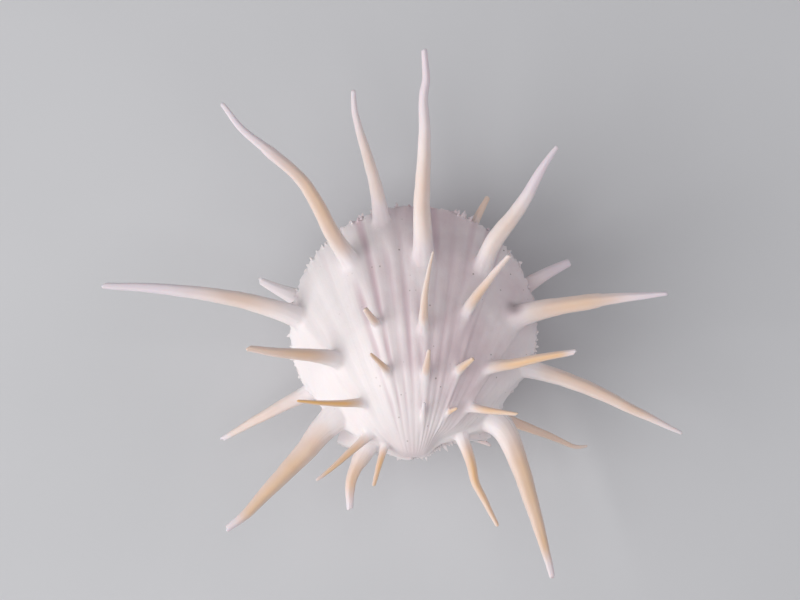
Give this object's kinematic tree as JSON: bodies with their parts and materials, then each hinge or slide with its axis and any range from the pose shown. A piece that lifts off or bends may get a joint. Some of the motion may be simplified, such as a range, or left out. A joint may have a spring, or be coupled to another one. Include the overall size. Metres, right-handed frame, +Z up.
{
  "type": "thorny oyster shell",
  "caption": "Closed thorny oyster shell: domed, ribbed valves that meet at a round margin, long curved spines growing from the ribs, and a flat scar to lie on; a natural display piece.",
  "frame": {"origin": "middle of the flat scar under the lower valve, on the surface that the shell lies on", "axes": "+Z up through the upper valve, +Y from the beak to the front margin, +X to the right when seen from above with the beak towards the viewer"},
  "size_m": [0.1739, 0.1583, 0.071],
  "materials": {
    "upper_shell": "satin",
    "lower_shell": "satin"
  },
  "bodies": {
    "root": {"upper_valve": "upper_shell", "lower_valve": "lower_shell"}
  },
  "joints": []
}
